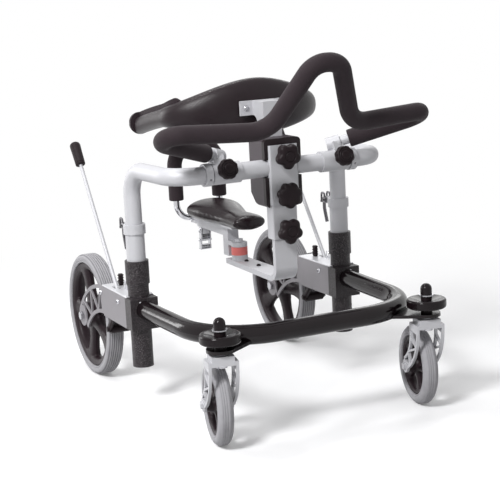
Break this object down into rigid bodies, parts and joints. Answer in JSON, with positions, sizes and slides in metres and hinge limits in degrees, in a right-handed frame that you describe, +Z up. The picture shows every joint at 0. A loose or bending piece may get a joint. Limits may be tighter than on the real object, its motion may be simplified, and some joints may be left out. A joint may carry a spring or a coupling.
{
  "type": "gait trainer",
  "caption": "Wheeled child's gait trainer: U-shaped base with casters and braked rear wheels, height-adjustable frame, handlebar, chest support and saddle with backrest.",
  "frame": {"origin": "on the floor, at the middle of the bounding box's bottom face", "axes": "+Z up, the user faces -Y, +X to the user's left"},
  "size_m": [0.6374, 0.9321, 0.7936],
  "materials": {
    "black_tube": "gloss black powder coat",
    "black_column": "fine-grained black powder coat",
    "black_housing": "semi-gloss black",
    "silver_tube": "satin silver",
    "grey_plate": "satin grey",
    "bright_plate": "bright",
    "steel": "plated",
    "chrome": "polished",
    "grey_tyre": "matte grey",
    "black_rim": "satin black",
    "black_plastic": "satin black",
    "foam": "matte dark foam",
    "chest_moulding": "satin dark grey",
    "padding": "matte black",
    "saddle_cover": "semi-gloss black",
    "red_block": "matte red"
  },
  "bodies": {
    "base": {"base_tube": "black_tube", "columns": "black_column", "mid_tubes": "silver_tube", "height_collars": "silver_tube", "column_blocks": "black_column", "fork_plates": "grey_plate", "bracket_covers": "bright_plate", "bracket_bolts": "steel", "brake_catches": "black_plastic", "rear_axles": "steel", "caster_plates": "black_tube", "kingpins": "steel", "bumper_spacers": "black_plastic", "cap_nuts": "black_plastic"},
    "right_wheel": {"right_rear_tyre": "grey_tyre", "right_rear_rim": "black_rim"},
    "right_brake": {"right_brake_lever": "silver_tube", "right_brake_grip": "black_plastic", "right_brake_roller": "black_plastic"},
    "right_caster": {"right_caster_fork": "silver_tube"},
    "right_caster_wheel": {"right_caster_tyre": "grey_tyre", "right_caster_rim": "black_rim"},
    "right_bumper_disc": {"right_bumper": "black_plastic"},
    "right_lock": {"right_swivel_lock": "black_plastic"},
    "right_cam": {"right_height_lever": "black_plastic"},
    "left_wheel": {"left_rear_tyre": "grey_tyre", "left_rear_rim": "black_rim"},
    "left_brake": {"left_brake_lever": "silver_tube", "left_brake_grip": "black_plastic", "left_brake_roller": "black_plastic"},
    "left_caster": {"left_caster_fork": "silver_tube"},
    "left_caster_wheel": {"left_caster_tyre": "grey_tyre", "left_caster_rim": "black_rim"},
    "left_bumper_disc": {"left_bumper": "black_plastic"},
    "left_lock": {"left_swivel_lock": "black_plastic"},
    "left_cam": {"left_height_lever": "black_plastic"},
    "upper_frame": {"upper_frame_tube": "silver_tube", "centre_sleeve": "silver_tube", "chest_housing": "black_housing", "bar_collars": "silver_tube"},
    "handlebar": {"handlebar_tube": "silver_tube", "handlebar_foam": "foam", "bar_fittings": "silver_tube"},
    "right_bar_knob": {"right_bar_knob": "black_plastic"},
    "left_bar_knob": {"left_bar_knob": "black_plastic"},
    "upper_post_knob": {"upper_post_knob": "black_plastic"},
    "middle_post_knob": {"middle_post_knob": "black_plastic"},
    "lower_post_knob": {"lower_post_knob": "black_plastic"},
    "chest": {"chest_post": "silver_tube", "chest_shell": "chest_moulding", "chest_liner": "padding", "chest_bolts": "steel"},
    "saddle_post": {"saddle_post": "silver_tube"},
    "saddle_arm": {"saddle_arm": "silver_tube", "saddle_swivel": "red_block"},
    "saddle": {"saddle_carrier": "silver_tube", "saddle_cushion": "saddle_cover", "backrest_hoop": "chrome", "backrest_foam": "foam"},
    "backrest_latch": {"backrest_latch": "chrome"}
  },
  "joints": [
    {"name": "right_wheel_roll", "type": "hinge", "parent": "base", "child": "right_wheel", "pos_m": [-0.262, 0.316, 0.15], "axis": [1, 0, 0], "continuous": true},
    {"name": "right_brake_press", "type": "hinge", "parent": "base", "child": "right_brake", "pos_m": [-0.262, 0.08, 0.222], "axis": [1, 0, 0], "range_deg": [0, 6.4]},
    {"name": "right_caster_swivel", "type": "hinge", "parent": "base", "child": "right_caster", "pos_m": [-0.245, -0.403, 0.197], "axis": [0, 0, 1], "continuous": true},
    {"name": "right_caster_roll", "type": "hinge", "parent": "right_caster", "child": "right_caster_wheel", "pos_m": [-0.23324, -0.34518, 0.0875], "axis": [0.9799, -0.1994, 0], "continuous": true},
    {"name": "right_bumper_spin", "type": "hinge", "parent": "base", "child": "right_bumper_disc", "pos_m": [-0.245, -0.403, 0.241], "axis": [0, 0, 1], "continuous": true},
    {"name": "right_lock_pull", "type": "slide", "parent": "right_caster", "child": "right_lock", "axis": [0.1994, 0.9799, 0], "range_m": [0, 0.007], "stiffness_N_per_m": 600, "springref_m": -0.003},
    {"name": "right_cam_open", "type": "hinge", "parent": "base", "child": "right_cam", "pos_m": [-0.262, 0.0545, 0.409], "axis": [1, 0, 0], "range_deg": [0, 120]},
    {"name": "left_wheel_roll", "type": "hinge", "parent": "base", "child": "left_wheel", "pos_m": [0.262, 0.316, 0.15], "axis": [1, 0, 0], "continuous": true},
    {"name": "left_brake_press", "type": "hinge", "parent": "base", "child": "left_brake", "pos_m": [0.262, 0.08, 0.222], "axis": [1, 0, 0], "range_deg": [0, 6.4]},
    {"name": "left_caster_swivel", "type": "hinge", "parent": "base", "child": "left_caster", "pos_m": [0.245, -0.403, 0.197], "axis": [0, 0, 1], "continuous": true},
    {"name": "left_caster_roll", "type": "hinge", "parent": "left_caster", "child": "left_caster_wheel", "pos_m": [0.25676, -0.34518, 0.0875], "axis": [0.9799, -0.1994, 0], "continuous": true},
    {"name": "left_bumper_spin", "type": "hinge", "parent": "base", "child": "left_bumper_disc", "pos_m": [0.245, -0.403, 0.241], "axis": [0, 0, 1], "continuous": true},
    {"name": "left_lock_pull", "type": "slide", "parent": "left_caster", "child": "left_lock", "axis": [0.1994, 0.9799, 0], "range_m": [0, 0.007], "stiffness_N_per_m": 600, "springref_m": -0.003},
    {"name": "left_cam_open", "type": "hinge", "parent": "base", "child": "left_cam", "pos_m": [0.262, 0.0545, 0.409], "axis": [1, 0, 0], "range_deg": [0, 120]},
    {"name": "frame_height", "type": "slide", "parent": "base", "child": "upper_frame", "axis": [0, 0, 1], "range_m": [-0.05, 0.12]},
    {"name": "handlebar_tilt", "type": "hinge", "parent": "upper_frame", "child": "handlebar", "pos_m": [0, -0.218, 0.5435], "axis": [1, 0, 0], "range_deg": [-20, 30]},
    {"name": "right_bar_knob_turn", "type": "hinge", "parent": "handlebar", "child": "right_bar_knob", "pos_m": [-0.14, -0.25571, 0.55685], "axis": [0, -0.9426, 0.3338], "range_deg": [0, 720]},
    {"name": "left_bar_knob_turn", "type": "hinge", "parent": "handlebar", "child": "left_bar_knob", "pos_m": [0.14, -0.25571, 0.55685], "axis": [0, -0.9426, 0.3338], "range_deg": [0, 720]},
    {"name": "upper_post_knob_turn", "type": "hinge", "parent": "upper_frame", "child": "upper_post_knob", "pos_m": [0, -0.255, 0.57], "axis": [0, -1, 0], "range_deg": [0, 720]},
    {"name": "middle_post_knob_turn", "type": "hinge", "parent": "upper_frame", "child": "middle_post_knob", "pos_m": [0, -0.255, 0.4855], "axis": [0, -1, 0], "range_deg": [0, 720]},
    {"name": "lower_post_knob_turn", "type": "hinge", "parent": "saddle_post", "child": "lower_post_knob", "pos_m": [0, -0.25, 0.407], "axis": [0, -1, 0], "range_deg": [0, 720]},
    {"name": "chest_height", "type": "slide", "parent": "upper_frame", "child": "chest", "axis": [0, 0, 1], "range_m": [-0.02, 0.1]},
    {"name": "saddle_post_height", "type": "slide", "parent": "upper_frame", "child": "saddle_post", "axis": [0, 0, 1], "range_m": [-0.04, 0.02]},
    {"name": "saddle_arm_height", "type": "slide", "parent": "saddle_post", "child": "saddle_arm", "axis": [0, 0, 1], "range_m": [-0.06, 0]},
    {"name": "saddle_swing", "type": "hinge", "parent": "saddle_arm", "child": "saddle", "pos_m": [0, 0.012, 0.338], "axis": [0, 0, 1], "range_deg": [-12, 12], "stiffness_Nm_per_rad": 30},
    {"name": "backrest_latch_open", "type": "hinge", "parent": "saddle", "child": "backrest_latch", "pos_m": [0, 0.209, 0.3433], "axis": [1, 0, 0], "range_deg": [0, 90]}
  ]
}
